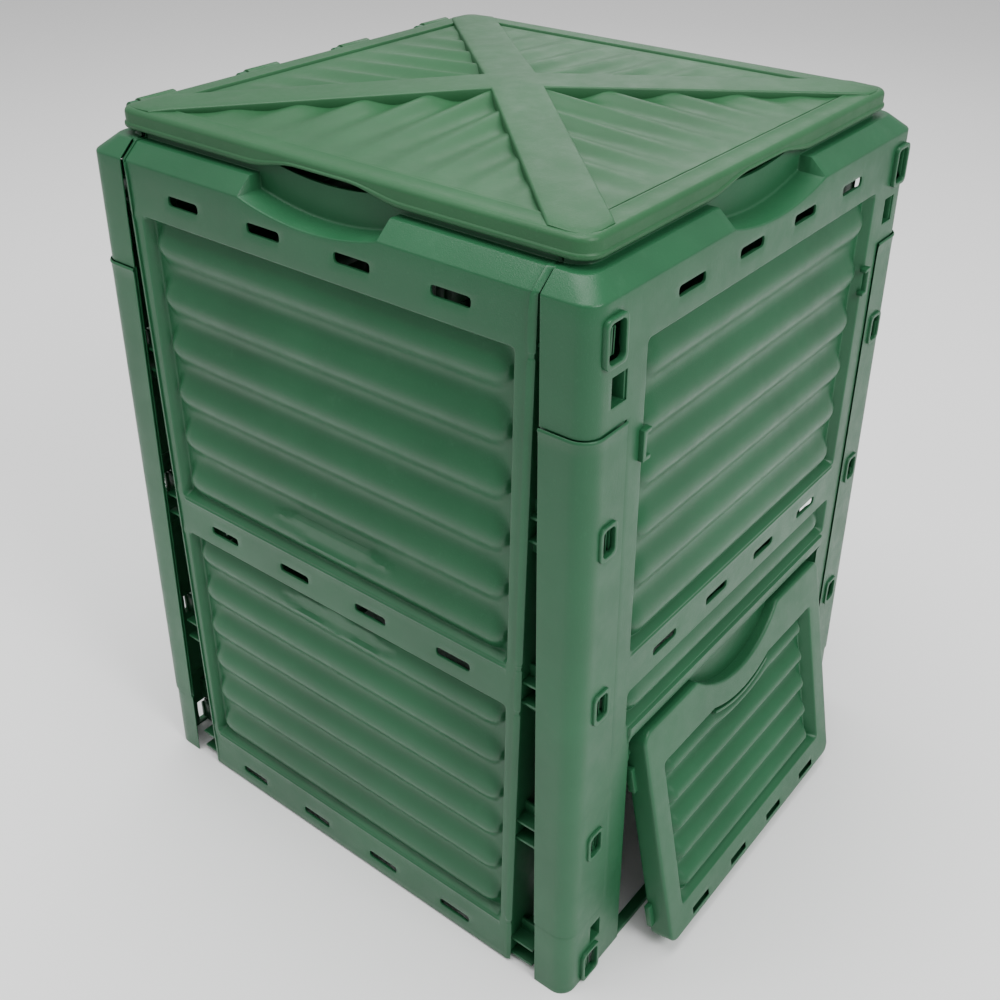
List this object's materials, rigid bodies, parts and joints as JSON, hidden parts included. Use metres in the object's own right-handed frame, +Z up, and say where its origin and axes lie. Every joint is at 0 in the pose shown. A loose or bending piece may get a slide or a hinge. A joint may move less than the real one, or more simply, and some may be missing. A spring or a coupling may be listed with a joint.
{
  "type": "garden compost bin",
  "caption": "Square slot-together plastic garden compost bin with tapered vented walls, a hinged lid with a raised cross and bottom hatches for taking the compost out.",
  "frame": {"origin": "middle of the whole footprint on the ground, with the right hatch tilted out as it is stored; the bin's own middle is 24 mm towards -X", "axes": "+Z up; +X towards the open hatch; the plain panels face -Y and +Y; the lid's hinge is on the -X side"},
  "size_m": [0.7024, 0.61, 0.839],
  "materials": {
    "panel_plastic": "fine-grained moulded polypropylene, semi-matt",
    "cover_plastic": "fine-grained moulded polypropylene, semi-matt",
    "hatch_plastic": "fine-grained moulded polypropylene, semi-matt",
    "lid_plastic": "fine-grained moulded polypropylene, satin"
  },
  "bodies": {
    "bin": {"front_panel": "panel_plastic", "back_panel": "panel_plastic", "right_panel": "panel_plastic", "left_panel": "panel_plastic", "corner_cover_front_right": "cover_plastic", "corner_cover_back_right": "cover_plastic", "corner_cover_back_left": "cover_plastic", "corner_cover_front_left": "cover_plastic"},
    "lid": {"lid": "lid_plastic"},
    "right_hatch": {"right_hatch": "hatch_plastic"},
    "left_hatch": {"left_hatch": "hatch_plastic"}
  },
  "joints": [
    {"name": "lid_hinge", "type": "hinge", "parent": "bin", "child": "lid", "pos_m": [-0.30892, 0, 0.812], "axis": [0, -1, 0], "range_deg": [0, 105]},
    {"name": "right_hatch_swing", "type": "hinge", "parent": "bin", "child": "right_hatch", "pos_m": [0.27408, 0, 0.266], "axis": [0, -1, 0], "range_deg": [-10.83, 50]},
    {"name": "left_hatch_swing", "type": "hinge", "parent": "bin", "child": "left_hatch", "pos_m": [-0.32192, 0, 0.266], "axis": [0, 1, 0], "range_deg": [0, 60]}
  ]
}
